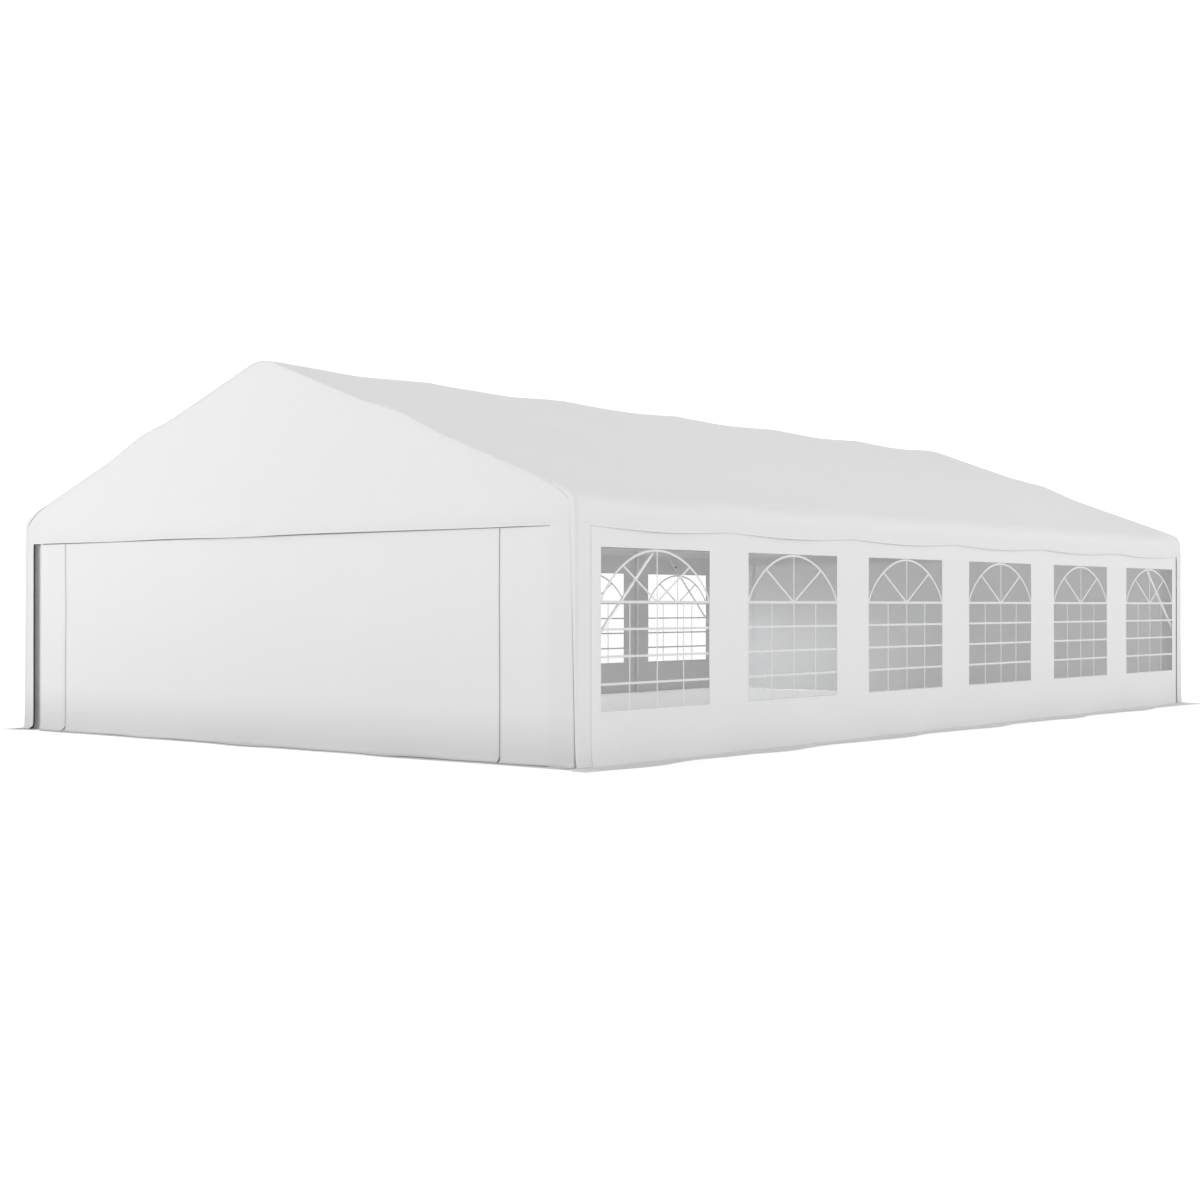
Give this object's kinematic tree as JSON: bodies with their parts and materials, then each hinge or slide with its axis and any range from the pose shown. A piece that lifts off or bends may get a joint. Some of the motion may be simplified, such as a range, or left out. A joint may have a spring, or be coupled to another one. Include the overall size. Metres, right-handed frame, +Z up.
{
  "type": "marquee tent",
  "caption": "White marquee tent with a sagging gabled cloth roof on tube portals, arched-lattice film windows in both long walls and a zipped door cloth in each end.",
  "frame": {"origin": "on the ground, in the middle of the tent's floor plan", "axes": "+Z up, +Y along the tent from the front gable to the rear one, +X to the right seen from the front"},
  "size_m": [7.6, 12.2, 3.3956],
  "materials": {
    "cover_cloth": "matt white coated woven sheet",
    "wall_cloth": "matt white coated woven sheet",
    "window_film": "clear flexible film with white printed bars",
    "galvanised_tube": "galvanised steel tube"
  },
  "bodies": {
    "root": {"portal_frame_1": "galvanised_tube", "portal_frame_2": "galvanised_tube", "portal_frame_3": "galvanised_tube", "portal_frame_4": "galvanised_tube", "portal_frame_5": "galvanised_tube", "portal_frame_6": "galvanised_tube", "portal_frame_7": "galvanised_tube", "ridge_purlin": "galvanised_tube", "eave_purlin_left": "galvanised_tube", "middle_purlin_left": "galvanised_tube", "eave_purlin_right": "galvanised_tube", "middle_purlin_right": "galvanised_tube", "brace_front_left": "galvanised_tube", "brace_front_right": "galvanised_tube", "brace_rear_left": "galvanised_tube", "brace_rear_right": "galvanised_tube", "roof_cover": "cover_cloth", "front_gable": "cover_cloth", "corner_sleeve_front_left": "cover_cloth", "corner_sleeve_front_right": "cover_cloth", "front_door": "wall_cloth", "front_left_panel": "wall_cloth", "front_right_panel": "wall_cloth", "rear_gable": "cover_cloth", "corner_sleeve_rear_left": "cover_cloth", "corner_sleeve_rear_right": "cover_cloth", "rear_door": "wall_cloth", "rear_left_panel": "wall_cloth", "rear_right_panel": "wall_cloth", "side_wall_left": "wall_cloth", "ground_flap_left": "wall_cloth", "window_left_1": "window_film", "window_left_2": "window_film", "window_left_3": "window_film", "window_left_4": "window_film", "window_left_5": "window_film", "window_left_6": "window_film", "side_wall_right": "wall_cloth", "ground_flap_right": "wall_cloth", "window_right_1": "window_film", "window_right_2": "window_film", "window_right_3": "window_film", "window_right_4": "window_film", "window_right_5": "window_film", "window_right_6": "window_film"}
  },
  "joints": []
}
